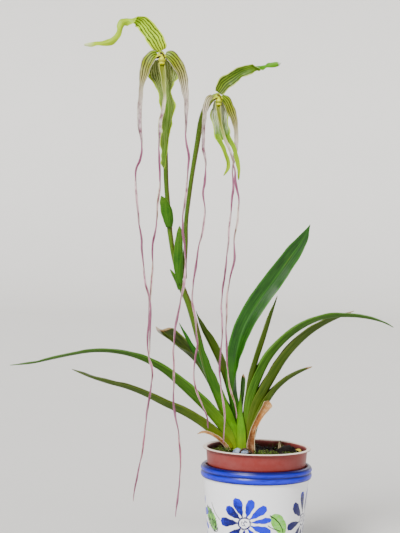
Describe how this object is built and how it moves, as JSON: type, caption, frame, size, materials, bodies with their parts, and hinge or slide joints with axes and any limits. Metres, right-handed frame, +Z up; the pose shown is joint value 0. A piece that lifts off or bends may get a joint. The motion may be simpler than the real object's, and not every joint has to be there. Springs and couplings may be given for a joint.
{
  "type": "potted slipper orchid",
  "caption": "Long-petalled slipper orchid with strap leaves and twisting ribbon petals, in a plastic nursery pot inside a painted ceramic cachepot.",
  "frame": {"origin": "centre of the cachepot's flat underside", "axes": "+Z up, -Y the side that the flowers face, +X to the right when seen from the front"},
  "size_m": [0.3506, 0.1026, 0.491],
  "materials": {
    "glazed_ceramic": "gloss",
    "brown_plastic": "satin",
    "bark_mix": "matte",
    "pale_stone": "satin",
    "yellow_stone": "matte",
    "rootstock": "matte",
    "leaf_mid": "satin",
    "leaf_cool": "satin",
    "leaf_bright": "satin",
    "leaf_olive": "satin",
    "dried_sheath": "matte",
    "flower_stem": "satin",
    "bract": "satin",
    "ribbon_petal": "satin",
    "sepal_yellow_green": "satin",
    "sepal_grey_green": "satin",
    "column_yellow": "satin"
  },
  "bodies": {
    "root": {"cachepot": "glazed_ceramic", "nursery_pot": "brown_plastic", "potting_mix": "bark_mix", "stones": "pale_stone", "yellow_stone": "yellow_stone", "rootstock": "rootstock", "leaf_01_long_left": "leaf_mid", "leaf_02_lower_left": "leaf_olive", "leaf_03_torn_left": "leaf_olive", "leaf_04_dark_left": "leaf_cool", "leaf_05_bright_left": "leaf_bright", "leaf_06_olive_left": "leaf_olive", "leaf_07_tall_right": "leaf_cool", "leaf_08_narrow_right": "leaf_olive", "leaf_09_arching_right": "leaf_mid", "leaf_10_olive_right": "leaf_olive", "leaf_11_short_right": "leaf_olive", "leaf_12_short_stub": "leaf_bright", "dried_sheath_left": "dried_sheath", "dried_sheath_right": "dried_sheath", "scape": "flower_stem", "flower_stalk_a": "flower_stem", "flower_stalk_b": "flower_stem", "bract_lower": "bract", "bract_flower_b": "bract", "bract_flower_a": "bract", "flower_a_left_petal": "ribbon_petal", "flower_a_right_petal": "ribbon_petal", "flower_a_lip": "ribbon_petal", "flower_b_left_petal": "ribbon_petal", "flower_b_right_petal": "ribbon_petal", "flower_b_lip": "ribbon_petal", "flower_a_dorsal_sepal": "sepal_yellow_green", "flower_b_dorsal_sepal": "sepal_yellow_green", "flower_a_synsepal": "sepal_grey_green", "flower_b_synsepal": "sepal_grey_green", "flower_a_column": "column_yellow", "flower_b_column": "column_yellow"}
  },
  "joints": []
}
